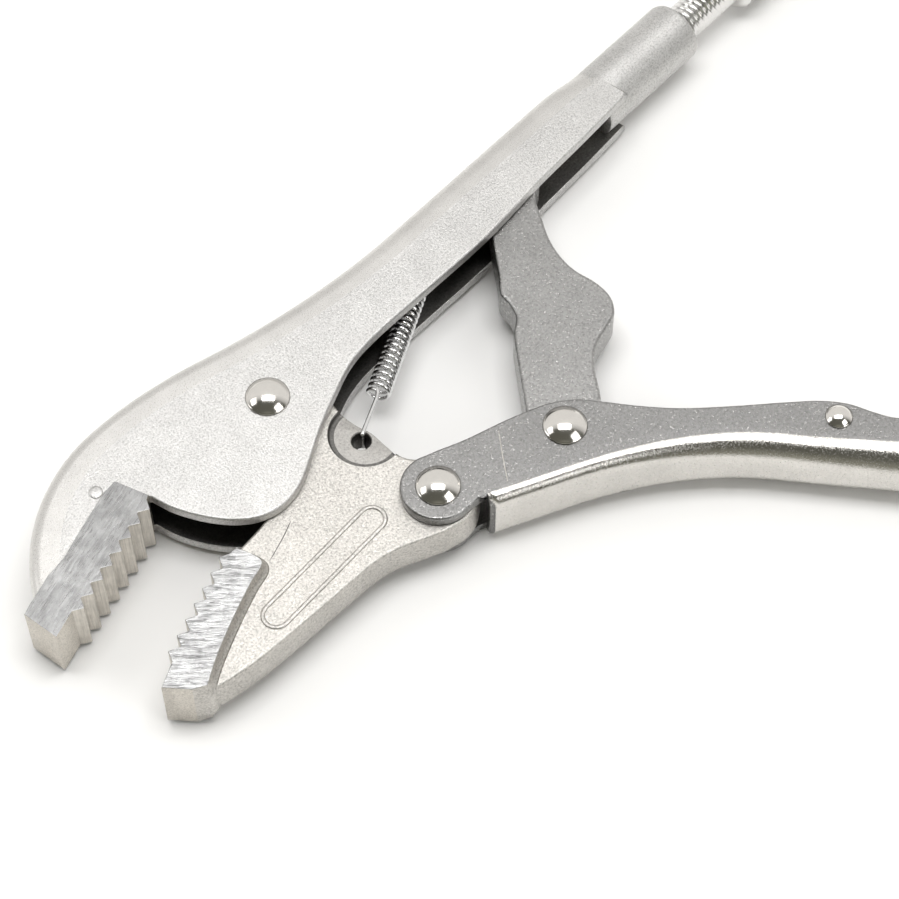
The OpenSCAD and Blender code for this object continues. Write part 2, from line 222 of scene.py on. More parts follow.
def teeth(roots, depth):
    """Row of V teeth standing out from the line of their roots, flat on crests and roots."""
    (x0, y0), (x1, y1) = roots
    span = math.hypot(x1 - x0, y1 - y0)
    count = round(span / TOOTH_PITCH)
    ax, ay = (x1 - x0) / span, (y1 - y0) / span
    sx, sy = ay, -ax
    pitch = span / count
    out = []
    for i in range(count):
        for along, deep in ((TOOTH_FLAT, 0), (0.5 * pitch - TOOTH_FLAT, depth),
                            (0.5 * pitch + TOOTH_FLAT, depth), (pitch - TOOTH_FLAT, 0)):
            s = i * pitch + along
            out.append((x0 + ax * s + sx * deep, y0 + ay * s + sy * deep))
    return [roots[0]] + out + [roots[1]]


def area(outline):
    return sum(a[0] * b[1] - b[0] * a[1]
               for a, b in zip(outline, outline[1:] + outline[:1])) / 2


def inward(outline, limit=2.2):
    """Direction of a unit offset into the outline at each of its points."""
    sign = 1 if area(outline) > 0 else -1
    out = []
    n = len(outline)
    for i in range(n):
        p = Vector(outline[i])
        before = p - Vector(outline[i - 1])
        after = Vector(outline[(i + 1) % n]) - p
        before = before.normalized() if before.length > 1e-9 else after.normalized()
        after = after.normalized() if after.length > 1e-9 else before
        n1 = Vector((-before.y, before.x)) * sign
        n2 = Vector((-after.y, after.x)) * sign
        m = n1 + n2
        m = m.normalized() if m.length > 1e-6 else n1
        out.append(m * min(1 / max(m.dot(n1), 1e-3), limit))
    return out


# ---- meshes ----


class Skin:
    """Vertices in millimetres and faces, gathered for one mesh."""

    def __init__(self):
        self.verts = []
        self.faces = []
        self.kinds = {}

    def add(self, points):
        first = len(self.verts)
        self.verts.extend(points)
        return list(range(first, len(self.verts)))

    def mark(self, kind, first):
        """Give the faces made since number first their own material."""
        for i in range(first, len(self.faces)):
            self.kinds[i] = kind

    def strip(self, a, b, closed=True):
        n = len(a)
        for i in range(n if closed else n - 1):
            j = (i + 1) % n
            self.faces.append((a[i], a[j], b[j], b[i]))

    def loft(self, rings):
        """Skin through a row of rings, closed at both ends."""
        for a, b in zip(rings, rings[1:]):
            self.strip(a, b)
        self.faces.append(tuple(reversed(rings[0])))
        self.faces.append(tuple(rings[-1]))


def plate(skin, outline, profile, lean=None):
    """Solid with the given outline; profile is [(inset, z)] from one face to the other.
    lean is (shift, weights): each point moves out by shift(z) times its weight."""
    dirs = inward(outline)
    rings = []
    for inset, z in profile:
        ring = []
        for i, (p, d) in enumerate(zip(outline, dirs)):
            shift = inset
            if lean:
                shift -= lean[0](z) * lean[1][i]
            ring.append((p[0] + d.x * shift, p[1] + d.y * shift, z))
        rings.append(skin.add(ring))
    skin.loft(rings)


def rounded_profile(low, high, radius, steps=4):
    """Profile of a plate whose edges are rounded."""
    angles = [math.pi / 2 * k / steps for k in range(steps + 1)]
    bottom = [(radius * (1 - math.sin(a)), low + radius * (1 - math.cos(a))) for a in angles]
    top = [(radius * (1 - math.cos(a)), high - radius * (1 - math.sin(a))) for a in angles]
    return bottom + top


def lathe(skin, profile, centre, axis="Z", segments=96):
    """Turned solid; profile is [(radius, distance along the axis)] from end to end."""
    rings = []
    for r, t in profile:
        ring = []
        for k in range(segments):
            a = 2 * math.pi * k / segments
            u, v = r * math.cos(a), r * math.sin(a)
            if axis == "Z":
                ring.append((centre[0] + u, centre[1] + v, centre[2] + t))
            else:
                ring.append((centre[0] + t, centre[1] + u, centre[2] + v))
        rings.append(skin.add(ring))
    skin.loft(rings)


def tube_along(skin, line, radius, segments=12):
    """Round wire along a line of 3-D points, with closed ends."""
    points = [Vector(p) for p in line]
    tangent = (points[1] - points[0]).normalized()
    side = tangent.orthogonal().normalized()
    rings = []
    for i, p in enumerate(points):
        ahead = points[min(i + 1, len(points) - 1)]
        behind = points[max(i - 1, 0)]
        new = (ahead - behind).normalized()
        side = (side - new * side.dot(new)).normalized()
        other = new.cross(side)
        rings.append(skin.add([
            tuple(p + radius * (math.cos(2 * math.pi * k / segments) * side
                                + math.sin(2 * math.pi * k / segments) * other))
            for k in range(segments)]))
    skin.loft(rings)


def folded_section(place, inset, low, high, sheet_off, corner, steps=8):
    """Section of the channel's skin at one place, from the upper cheek round to the lower."""
    x, y, heading = place[:3]
    a = math.radians(heading)
    inx, iny = math.sin(a) * place[4], -math.cos(a) * place[4]
    rows = [(inset, high)]
    for k in range(steps + 1):
        t = math.pi / 2 * k / steps
        rows.append((sheet_off + corner * (1 - math.sin(t)), high - corner * (1 - math.cos(t))))
    for k in range(steps + 1):
        t = math.pi / 2 * (1 - k / steps)
        rows.append((sheet_off + corner * (1 - math.sin(t)), low + corner * (1 - math.cos(t))))
    rows.append((inset, low))
    return [(x + inx * u, y + iny * u, z) for u, z in rows]


def fold(skin, places, inset_of, sheen_on_flat_strip):
    """Folded spine of a channel: its outer and inner skins and the two ends between them."""
    outer, inner = [], []
    for p in places:
        corner = p[3]
        inset = inset_of(p)
        outer.append(skin.add(folded_section(p, inset, CHEEK_LOW, CHEEK_HIGH, 0, corner)))
        inner.append(skin.add(folded_section(p, inset, CHEEK_LOW + SHEET, CHEEK_HIGH - SHEET,
                                             SHEET, max(corner - SHEET, 0.4))))
    # painted sheen: the outer skin of the fold gets the lighter fold plating (number 1); when skirt
    # is 1, the flat strips next to the cheeks keep the cheek plating
    skirt = 0 if sheen_on_flat_strip else 1
    for a, b in zip(outer, outer[1:]):
        skin.strip(a[skirt:len(a) - skirt], b[skirt:len(b) - skirt], closed=False)
    skin.mark(1, 0)
    if skirt:
        for a, b in zip(outer, outer[1:]):
            skin.strip(a[:2], b[:2], closed=False)
            skin.strip(a[-2:], b[-2:], closed=False)
    # painted shade: the inner skin of the fold gets the near-black material (number 2)
    first = len(skin.faces)
    for a, b in zip(inner, inner[1:]):
        skin.strip(b, a, closed=False)
    skin.mark(2, first)
    for a, b in ((outer[0], inner[0]), (inner[-1], outer[-1])):
        skin.strip(a, b, closed=False)


def cheek(skin, joined, free_edge, mirror):
    """Flat cheek of a channel, joined to its fold along one line, with a rounded free edge."""
    outline = joined + list(free_edge)
    dirs = inward(outline)
    n_joined = len(joined)
    round_out = rounded_profile(CHEEK_HIGH - SHEET, CHEEK_HIGH, OUTER_EDGE, 5)
    round_in = rounded_profile(CHEEK_HIGH - SHEET, CHEEK_HIGH, INNER_EDGE, 2)
    profile = round_in[:len(round_in) // 2] + round_out[len(round_out) // 2:]

    def level(z):
        return CHEEK_LOW + CHEEK_HIGH - z if mirror else z

    def free_ring(inset, z):
        return [(p[0] + d.x * inset, p[1] + d.y * inset, level(z))
                for p, d in zip(outline[n_joined:], dirs[n_joined:])]

    def whole_ring(inset, z):
        return [(p[0], p[1], level(z)) for p in joined] + free_ring(inset, z)

    face_low = skin.add(whole_ring(*profile[0]))
    face_high = skin.add(whole_ring(*profile[-1]))
    # painted shade: the cheek's inner face gets the near-black material (number 2)
    skin.faces.append(tuple(reversed(face_low)))
    skin.mark(2, len(skin.faces) - 1)
    skin.faces.append(tuple(face_high))
    middle = [skin.add(free_ring(inset, z)) for inset, z in profile[1:-1]]
    layers = [face_low[n_joined:]] + middle + [face_high[n_joined:]]
    for a, b in zip(layers, layers[1:]):
        skin.strip(a, b, closed=False)
    skin.faces.append(tuple([face_low[n_joined - 1]] + [ring[0] for ring in layers]
                            + [face_high[n_joined - 1]]))
    skin.faces.append(tuple([face_high[0]] + [ring[-1] for ring in reversed(layers)]
                            + [face_low[0]]))


def channel(skin, path, side, inset_of, free_edge, sheen_on_flat_strip):
    """Pressed channel: a folded spine along path and two flat cheeks with rounded edges."""
    places = [p + (side,) for p in path]
    fold(skin, places, inset_of, sheen_on_flat_strip)
    joined = []
    for p in places:
        a = math.radians(p[2])
        inset = inset_of(p)
        joined.append((p[0] + math.sin(a) * side * inset, p[1] - math.cos(a) * side * inset))
    for mirror in (False, True):
        cheek(skin, joined, free_edge, mirror)


def build(name, skin, material, body, nodes=(), weighted=True):
    """Mesh object of a skin, welded, shaded smooth, riding on a body."""
    mesh = bpy.data.meshes.new(name)
    mesh.from_pydata([(x * MM, y * MM, z * MM) for x, y, z in skin.verts], [], skin.faces)
    for i, kind in skin.kinds.items():
        mesh.polygons[i].material_index = kind
    bm = bmesh.new()
    bm.from_mesh(mesh)
    bmesh.ops.remove_doubles(bm, verts=bm.verts, dist=1e-7)
    bmesh.ops.dissolve_degenerate(bm, dist=1e-8, edges=bm.edges)
    bmesh.ops.recalc_face_normals(bm, faces=bm.faces)
    bm.to_mesh(mesh)
    bm.free()
    mesh.shade_smooth()
    obj = bpy.data.objects.new(name, mesh)
    bpy.context.scene.collection.objects.link(obj)
    for m in material if isinstance(material, (list, tuple)) else [material]:
        mesh.materials.append(m)
    if weighted:
        weigh_normals(obj)
    if body:
        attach(obj, body)
    if nodes:
        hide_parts(*nodes)
    return obj


def weigh_normals(obj):
    modifier = obj.modifiers.new("weighted", "WEIGHTED_NORMAL")
    modifier.weight = 60
    modifier.keep_sharp = True


def settle(obj):
    """Turn the modifiers of an object into its mesh."""
    graph = bpy.context.evaluated_depsgraph_get()
    mesh = bpy.data.meshes.new_from_object(obj.evaluated_get(graph))
    obj.modifiers.clear()
    obj.data = mesh


def carve(obj, cutters):
    """Cut solids out of an object."""
    for cutter in cutters:
        modifier = obj.modifiers.new("cut", "BOOLEAN")
        modifier.operation = "DIFFERENCE"
        modifier.solver = "EXACT"
        modifier.object = cutter
    settle(obj)
    for cutter in cutters:
        bpy.data.objects.remove(cutter)
    obj.data.shade_smooth()


def paint(obj, pick):
    """Give each face the material whose number pick(face) returns."""
    for face in obj.data.polygons:
        face.material_index = pick(face)


# ---- materials ----


class Nodes:
    """Small helper that adds nodes to a material and links them."""

    def __init__(self, name):
        self.material = bpy.data.materials.new(name)
        self.material.use_nodes = True
        self.tree = self.material.node_tree
        self.shader = self.tree.nodes["Principled BSDF"]
        self.place = self.add("ShaderNodeTexCoord").outputs["Object"]

    def add(self, kind, **values):
        node = self.tree.nodes.new(kind)
        for key, value in values.items():
            setattr(node, key, value)
        return node

    def link(self, a, b):
        self.tree.links.new(a, b)

    def noise(self, size_mm, detail=3, rough=0.6, stretch=(1, 1, 1), turn=0.0):
        """Noise whose features are about size_mm across."""
        mapping = self.add("ShaderNodeMapping", vector_type="TEXTURE")
        mapping.inputs["Rotation"].default_value = (0, 0, turn)
        mapping.inputs["Scale"].default_value = [size_mm * MM * s for s in stretch]
        self.link(self.place, mapping.inputs["Vector"])
        node = self.add("ShaderNodeTexNoise")
        node.inputs["Scale"].default_value = 1
        node.inputs["Detail"].default_value = detail
        node.inputs["Roughness"].default_value = rough
        self.link(mapping.outputs["Vector"], node.inputs["Vector"])
        return node.outputs["Fac"]

    def ramp(self, value, stops):
        node = self.add("ShaderNodeValToRGB")
        elements = node.color_ramp.elements
        while len(elements) < len(stops):
            elements.new(0.5)
        for element, (place, colour) in zip(elements, stops):
            element.position = place
            element.color = (*colour, 1)
        self.link(value, node.inputs["Fac"])
        return node.outputs["Color"]

    def spread(self, value, low, high):
        """Stretch the middle of a noise, 0.3 to 0.7, over low to high."""
        node = self.add("ShaderNodeMapRange")
        node.inputs["From Min"].default_value = 0.3
        node.inputs["From Max"].default_value = 0.7
        node.inputs["To Min"].default_value = low
        node.inputs["To Max"].default_value = high
        self.link(value, node.inputs["Value"])
        return node.outputs["Result"]

    def multiply(self, a, b):
        node = self.add("ShaderNodeMix", data_type="RGBA", blend_type="MULTIPLY")
        node.inputs["Factor"].default_value = 1
        self.link(a, node.inputs[6])
        self.link(b, node.inputs[7])
        return node.outputs[2]

    def bump(self, heights):
        """Bump from [(height, depth in mm, strength)], finest last."""
        normal = None
        for height, depth, strength in heights:
            node = self.add("ShaderNodeBump")
            node.inputs["Distance"].default_value = depth * MM
            node.inputs["Strength"].default_value = strength
            self.link(height, node.inputs["Height"])
            if normal:
                self.link(normal, node.inputs["Normal"])
            normal = node.outputs["Normal"]
        self.link(normal, self.shader.inputs["Normal"])


def grey(value, warm=0.0):
    return value * (1 + warm), value, value * (1 - 1.6 * warm)


def blasted_nickel(name, tone, warm, grain_mm, rough, depth, glint_gain=1.1, mottle=0.32):
    """Plated sheet with a sand-blasted grain; bright specks painted into its colour stand in for
    the glints of the blasted surface.
    """
    n = Nodes(name)
    n.shader.inputs["Metallic"].default_value = 1
    fine = n.noise(grain_mm, 3, 0.8)
    blotch = n.noise(9, 4, 0.65)
    speck = n.noise(grain_mm * 0.8, 1, 0.5, (1, 1, 1), 0.7)
    low, high = grey(tone * 0.94, warm), grey(tone * 1.04, warm)
    base = n.ramp(blotch, [(0.35, low), (0.65, high)])
    grain = n.ramp(fine, [(0.36, grey(1 - mottle)), (0.5, grey(1 - mottle / 4)), (0.62, grey(1.0))])
    # painted glints: random specks whose colour is raised stand in for the glints of the blasted
    # grain
    painted_glints = n.ramp(speck, [(0.6, grey(1.0)), (0.72, grey(glint_gain))])
    n.link(n.multiply(n.multiply(base, grain), painted_glints), n.shader.inputs["Base Color"])
    n.link(n.spread(speck, rough + 0.1, rough - 0.12), n.shader.inputs["Roughness"])
    n.bump([(blotch, 0.06, 0.25), (fine, depth, 1.0)])
    return n.material


def ground_steel(name, tone, turn, chatter):
    """Ground face: fine scratches one way, with chatter marks across them."""
    n = Nodes(name)
    n.shader.inputs["Metallic"].default_value = 1
    scratch = n.noise(0.16, 3, 0.7, (24, 1, 1), turn)
    streak = n.noise(0.8, 4, 0.7, (5, 1, 1), turn)
    blotch = n.noise(3.0, 5, 0.7)
    base = n.ramp(blotch, [(0.35, grey(tone * 0.78)), (0.52, grey(tone)),
                           (0.66, grey(tone * 1.2))])
    lines = n.ramp(streak, [(0.38, grey(1 - 0.3 * chatter)), (0.5, grey(0.95)), (0.6, grey(1.0))])
    n.link(n.multiply(base, lines), n.shader.inputs["Base Color"])
    n.link(n.spread(scratch, 0.42, 0.22), n.shader.inputs["Roughness"])
    n.bump([(streak, 0.16 * chatter, 0.8), (scratch, 0.02, 0.6)])
    return n.material


def milled_steel(name, tone, warm):
    """Milled flank with fine upright lines."""
    n = Nodes(name)
    n.shader.inputs["Metallic"].default_value = 1
    lines = n.noise(0.3, 3, 0.7, (1, 1, 30))
    blotch = n.noise(2.5, 3, 0.6)
    base = n.ramp(blotch, [(0.3, grey(tone * 0.85, warm)), (0.7, grey(tone * 1.05, warm))])
    shade = n.ramp(lines, [(0.35, grey(0.78)), (0.6, grey(1.0))])
    n.link(n.multiply(base, shade), n.shader.inputs["Base Color"])
    n.link(n.spread(lines, 0.5, 0.34), n.shader.inputs["Roughness"])
    n.bump([(lines, 0.03, 0.6)])
    return n.material


def polished(name, tone, warm, rough):
    """Polished plating with faint smears."""
    n = Nodes(name)
    n.shader.inputs["Metallic"].default_value = 1
    smear = n.noise(1.6, 4, 0.65)
    base = n.ramp(smear, [(0.3, grey(tone * 0.95, warm)), (0.7, grey(tone, warm))])
    n.link(base, n.shader.inputs["Base Color"])
    n.link(n.spread(smear, rough + 0.05, rough), n.shader.inputs["Roughness"])
    n.bump([(n.noise(0.35, 3, 0.6), 0.01, 0.35)])
    return n.material


SHEET_PALE = blasted_nickel("sheet_pale", tone=0.66, warm=0.012, grain_mm=0.42, rough=0.42,
                            depth=0.10, mottle=0.38)
FORGED = blasted_nickel("forged_pale", tone=0.62, warm=0.035, grain_mm=0.5, rough=0.44,
                        depth=0.12, mottle=0.42)
# painted sheen: this fold plating is lighter and less mottled than the sheet_pale on the cheeks of
# the same sheet; its lower roughness and finer grain are a smoother finish
FOLD_PALE_PAINTED_SHEEN = blasted_nickel("fold_pale_painted_sheen", tone=0.70, warm=0.018, grain_mm=0.3, rough=0.36,
                           depth=0.02, glint_gain=1.0, mottle=0.12)
# painted sheen: this fold plating is more than twice as light as the sheet_dark on the cheeks of
# the same sheet, standing in for the light wall and highlight of the rounded spine; its low
# roughness is a smoother finish
FOLD_GREY_PAINTED_SHEEN = blasted_nickel("fold_grey_painted_sheen", tone=0.66, warm=0.03, grain_mm=0.5, rough=0.2,
                           depth=0.05, mottle=0.12)
# painted shade: near-black plating that stands in for shade, on the channels' inner faces, the spot
# recess walls and spring hole, and the jaw's flash line
SHADED = blasted_nickel("shaded_inside", tone=0.16, warm=0.03, grain_mm=0.6, rough=0.5,
                        depth=0.05, glint_gain=1.3)
SPOT = blasted_nickel("spot_face", tone=0.46, warm=0.03, grain_mm=0.5, rough=0.4, depth=0.05)
SHEET_DARK = blasted_nickel("sheet_dark", tone=0.30, warm=0.010, grain_mm=0.6, rough=0.36,
                            depth=0.075, glint_gain=1.8)
SHEET_GREY = blasted_nickel("sheet_grey", tone=0.38, warm=0.010, grain_mm=0.6, rough=0.36,
                            depth=0.075, glint_gain=1.7)
GROUND = ground_steel("ground_top", tone=0.40, turn=0.26, chatter=0.6)
GROUND_ROUGH = ground_steel("ground_chatter", tone=0.44, turn=-0.83, chatter=1.7)
MILLED = milled_steel("milled_flank", tone=0.66, warm=0.055)
CAST_FACE = blasted_nickel("wire_cut_face", tone=0.66, warm=0.055, grain_mm=0.4, rough=0.5,
                           depth=0.02)
BRIGHT = polished("bright_plate", tone=0.8, warm=0.01, rough=0.16)
WIRE = polished("spring_wire", tone=0.82, warm=0.0, rough=0.14)
DOME = polished("rivet_dome", tone=0.78, warm=0.03, rough=0.12)

# ---- upper half ----


def cheek_inset(place):
    """Distance from the spine to the line where a cheek joins the fold."""
    return max(FOLD_INSET, place[3] + 0.1)


REAR_END = 111.5
SWELL_FROM = 98
SWELL_CORNER = 7.19
TUBE_FROM, TUBE_TO = 107, 138
TUBE_R = 7.2
TUBE_BORE = 4.62
TAB_HALF_W = 2.5
TAB_HALF_T = 0.8
UPPER_SPINE = [p for p in stations(UPPER_PATH, UPPER_START) if p[0] < REAR_END]


def make_upper_shell():
    swell = UPPER_SPINE[-1][0] - SWELL_FROM
    path = []
    for x, y, heading, corner in UPPER_SPINE:
        t = min(max((x - SWELL_FROM) / swell, 0), 1)
        path.append((x, y, heading, corner + (SWELL_CORNER - corner) * ease(t)))
    under = [(x, y - 1.3) for x, y in SEAM[2:4]]
    free = (smooth_line(UPPER_EDGE, 6)[:-1] + [(-33.6, 1.2), (-36.5, 7.2)] + under
            + [(-54, 1.2), (-58.5, -2.6)])
    skin = Skin()
    channel(skin, path, 1, cheek_inset, free, True)
    build("upper_handle_shell", skin, [SHEET_PALE, FOLD_PALE_PAINTED_SHEEN, SHADED], "upper_half",
          ["upper_handle"])


def make_thread_tube():
    rounding = [(TUBE_R - 0.3, TUBE_FROM), (TUBE_R, TUBE_FROM + 0.3), (TUBE_R, TUBE_TO - 1.2),
                (TUBE_R - 0.3, TUBE_TO - 0.4), (TUBE_R - 1, TUBE_TO), (TUBE_R - 2, TUBE_TO)]
    bore = [(TUBE_BORE, TUBE_TO - 0.7), (TUBE_BORE, TUBE_FROM)]
    skin = Skin()
    lathe(skin, bore[-1:] + rounding + bore, (0, UPPER_SPINE[-1][1] - TUBE_R, MID), "X")
    build("thread_tube", skin, SHEET_PALE, "upper_half")


def make_spring_tab():
    wall = next(p[1] for p in UPPER_SPINE if p[0] > TAB_AT.x) - SHEET + 0.5
    left, right = MID - TAB_HALF_W, MID + TAB_HALF_W
    outline = ([(left, wall), (left, TAB_AT.y)]
               + arc((MID, TAB_AT.y), TAB_HALF_W, 180, 360, 14)[1:-1]
               + [(right, TAB_AT.y), (right, wall)])
    skin = Skin()
    plate(skin, outline, rounded_profile(-TAB_HALF_T, TAB_HALF_T, 0.2, 2))
    skin.verts = [(TAB_AT.x + z, y, x) for x, y, z in skin.verts]
    build("spring_tab", skin, SHEET_PALE, "upper_half")


def make_upper_jaw():
    skin = Skin()
    outline = teeth(UPPER_ROOTS, -TOOTH_DEPTH) + UPPER_NOSE + list(reversed(SEAM))
    plate(skin, outline, rounded_profile(MID - JAW_W / 2, MID + JAW_W / 2, EDGE_BREAK, 2))
    jaw = build("upper_jaw_block", skin, [GROUND, MILLED, CAST_FACE], "upper_half",
                ["upper_jaw"])
    nose_x = (UPPER_ROOTS[1][0] - 0.2) * MM
    paint(jaw, lambda f: 0 if abs(f.normal.z) > 0.6 else (2 if f.center.x < nose_x else 1))


WELD_AT = (-40.1, 9.9)
WELD_R = 1.5
WELD_H = 0.35


def make_welds():
    skin = Skin()
    steps = 6
    for way, face in ((1, CHEEK_HIGH), (-1, CHEEK_LOW)):
        rim = [(WELD_R * math.cos(math.pi / 2 * k / steps),
                face + way * WELD_H * math.sin(math.pi / 2 * k / steps)) for k in range(steps)]
        lathe(skin, [(WELD_R, face - way * 0.3)] + rim + [(NEAR_AXIS, face + way * WELD_H)],
              (*WELD_AT, 0), "Z", 40)
    build("jaw_weld_spots", skin, SHEET_PALE, "upper_half", ["jaw_welds"])


def make_rivet(name, at, body, node, head=4.75, dome=2.3):
    """Riveted head: polished dome above, flattened head below."""
    ball = (head * head + dome * dome) / (2 * dome)
    profile = [(NEAR_AXIS, 0), (head * 0.68, 0), (head - 0.35, 0.25), (head, 0.8),
               (head - 0.1, CHEEK_LOW), (head - 0.5, CHEEK_LOW + 0.05),
               (head - 0.5, CHEEK_HIGH - 0.05), (head - 0.28, CHEEK_HIGH + 0.02),
               (head - 0.03, CHEEK_HIGH + 0.2)]
    reach = math.asin(head / ball)
    for k in range(1, 24):
        a = reach * (1 - k / 24)
        z = CHEEK_HIGH + dome - ball + ball * math.cos(a)
        if z > CHEEK_HIGH + 0.3:
            profile.append((ball * math.sin(a), z))
    profile.append((NEAR_AXIS, CHEEK_HIGH + dome))
    skin = Skin()
    lathe(skin, profile, (*at, 0))
    build(name, skin, DOME, body, [node])


# ---- moving jaw ----


def inside_spot(p):
    return (p.xy - Vector(SPOT_AT)).length < SPOT_R + 0.6


def make_lower_jaw():
    low, high = MID - BODY_W / 2, MID + BODY_W / 2
    outline = (smooth_line(JAW_LOWER_EDGE, 5) + arc(HANDLE_PIVOT, JAW_TAIL_R, -110, 40, 36)
               + smooth_line(JAW_UPPER_EDGE, 5) + arc(JAW_PIVOT, HUB_R, -26, 196, 48)
               + smooth_line(JAW_THROAT, 5) + [(-33, -24)])
    profile = [(1.0, low), (0.62, low + 0.06), (0.4, low + 0.3), (0.3, low + 1), (0, MID),
               (0.3, high - 1), (0.4, high - 0.3), (0.62, high - 0.06), (1.0, high)]
    skin = Skin()
    plate(skin, outline, profile)
    body = build("lower_jaw_body", skin, FORGED, None, weighted=False)
    cutters = []
    for way, floor in ((1, high - SPOT_DEPTH), (-1, low + SPOT_DEPTH)):
        cut = Skin()
        lathe(cut, [(SPOT_R - 1.1, floor), (SPOT_R - 0.55, floor - way * 0.3),
                    (SPOT_R - 0.1, floor - way * 0.1), (SPOT_R + 0.1, floor + way * 0.35),
                    (SPOT_R + 0.5, floor + way * 3)], (*SPOT_AT, 0), "Z", 120)
        cutters.append(build("cut", cut, FORGED, None, weighted=False))
    hole = Skin()
    r = SPRING_HOLE_R
    lathe(hole, [(r + 1.2, low), (r, low + SPOT_DEPTH + 0.55), (r, high - SPOT_DEPTH - 0.55),
                 (r + 1.2, high)], (*SPRING_HOLE, 0), "Z", 48)
    cutters.append(build("cut", hole, FORGED, None, weighted=False))
    carve(body, cutters)
    body.data.materials.append(SPOT)
    deep = high - SPOT_DEPTH + 0.3
    body.data.materials.append(SHADED)

    # painted shade: the recess walls, its groove and the spring hole get the near-black material;
    # the flat recess floors get the spot_face plating
    def pick(face):
        p = face.center / MM
        if not inside_spot(p) or not low + 0.9 < p.z < high - 0.05:
            return 0
        return 1 if abs(face.normal.z) > 0.99 and p.z < deep else 2

    paint(body, pick)
    weigh_normals(body)
    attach(body, "moving_jaw")
    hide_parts("lower_jaw")


def make_tooth_block():
    saw = teeth(LOWER_ROOTS, TOOTH_DEPTH)
    nose = LOWER_NOSE
    back = smooth_line([nose[-1]] + BLOCK_BACK, 5)[1:]
    outline = saw + nose + back
    weights = [0.0] * (len(saw) + len(nose) - 1) + [0.6] + [1.0] * len(back)
    weights[-1] = 0.0
    weights[-2] = 0.3
    weights[-3] = 0.7
    half = BODY_W / 2

    def draft(z):
        above = max(abs(z - MID) - half, 0)
        t = 1 - above / (JAW_W / 2 - half)
        return 0.45 * t + 0.9 * max(t - 0.45, 0) ** 2 / 0.3

    top = MID + JAW_W / 2
    low = MID - JAW_W / 2
    profile = rounded_profile(low, top, EDGE_BREAK, 2)
    levels = [half + up for up in (0.05, 0.3, 0.6, 1.0, 1.6, 2.2)]
    extra = [(0, MID - z) for z in reversed(levels)] + [(0, MID + z) for z in levels]
    profile = profile[:3] + extra + profile[3:]
    skin = Skin()
    plate(skin, outline, profile, (draft, weights))
    block = build("lower_tooth_block", skin, [GROUND_ROUGH, MILLED, FORGED, CAST_FACE],
                  "moving_jaw")
    (start_x, start_y), (end_x, end_y) = LOWER_ROOTS

    def pick(face):
        if abs(face.normal.z) > 0.8:
            return 0
        x, y = face.center.x / MM, face.center.y / MM
        if x < end_x - 0.2 and y < end_y:
            return 3
        root_y = start_y + (x - start_x) * (end_y - start_y) / (end_x - start_x)
        return 2 if y < root_y - FLANK_REACH else 1

    paint(block, pick)


def make_panel():
    """Raised rim of the blank oval panel, on both faces of the jaw."""
    skin = Skin()
    a, b = Vector(PANEL[0]), Vector(PANEL[1])
    along = math.degrees(math.atan2(b.y - a.y, b.x - a.x))
    line = (arc(b, PANEL_R, along - 90, along + 90, 20)
            + arc(a, PANEL_R, along + 90, along + 270, 20))
    dirs = inward(line)
    section = [(0.5, -0.1), (0.46, 0.12), (0.28, 0.28), (0, 0.33), (-0.28, 0.28), (-0.46, 0.12),
               (-0.5, -0.1)]
    for way, face in ((1, MID + BODY_W / 2), (-1, MID - BODY_W / 2)):
        rings = [skin.add([(p[0] + d.x * u, p[1] + d.y * u, face + way * h)
                           for p, d in zip(line, dirs)]) for u, h in section]
        for r1, r2 in zip(rings, rings[1:] + rings[:1]):
            skin.strip(r1, r2)
    build("blank_panel_rim", skin, FORGED, "moving_jaw")


def ridge(name, points, width, height, face, material, body):
    """Low raised line on a flat face, running through points."""
    line = smooth_line(points, 8)
    skin = Skin()
    rings = []
    for i, p in enumerate(line):
        ahead = Vector(line[min(i + 1, len(line) - 1)])
        behind = Vector(line[max(i - 1, 0)])
        across = (ahead - behind).normalized().orthogonal()
        fade = min(i, len(line) - 1 - i) / (0.25 * len(line))
        w = width / 2 * min(0.3 + fade, 1)
        rings.append(skin.add([(p[0] + across.x * u, p[1] + across.y * u, face + h)
                               for u, h in ((w, -0.05), (0.3 * w, height), (-0.3 * w, height),
                                            (-w, -0.05))]))
    skin.loft(rings)
    build(name, skin, material, body)


# ---- lower half ----


def lower_inset(place):
    run = math.hypot(place[0] - LOWER_START[0], place[1] - LOWER_START[1])
    narrow = place[3] + 0.05
    return narrow + (cheek_inset(place) - narrow) * ease(min(run / 9, 1))


def make_lower_handle():
    skin = Skin()
    path = stations(LOWER_PATH, LOWER_START)
    edge = smooth_line(LOWER_EDGE, 6)
    free = edge + arc(HANDLE_PIVOT, EAR_R, 62, 274, 56) + [(10.2, -48.8), (11.6, -49)]
    channel(skin, path, -1, lower_inset, free, False)
    handle = build("lower_handle_shell", skin, [SHEET_DARK, FOLD_GREY_PAINTED_SHEEN, SHADED], None,
                   weighted=False)
    cut = Skin()
    lathe(cut, [(NOTCH_R, -1), (NOTCH_R, CHEEK_HIGH + 1)], (*NOTCH_AT, 0), "Z", 64)
    carve(handle, [build("cut", cut, SHEET_DARK, None, weighted=False)])
    weigh_normals(handle)
    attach(handle, "lower_half")
    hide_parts("lower_handle")


def make_link():
    skin = Skin()
    centre, r = LINK_NOSE
    outline = (smooth_line(LINK_FRONT, 5) + arc(centre, r, 118, -80, 20)
               + smooth_line(LINK_BACK, 5) + arc(LINK_PIVOT, LINK_FOOT_R, -30, -198, 28))
    plate(skin, outline, rounded_profile(MID - LINK_W / 2, MID + LINK_W / 2, 0.75, 5))
    build("toggle_link_plate", skin, SHEET_GREY, "link", ["toggle_link"])


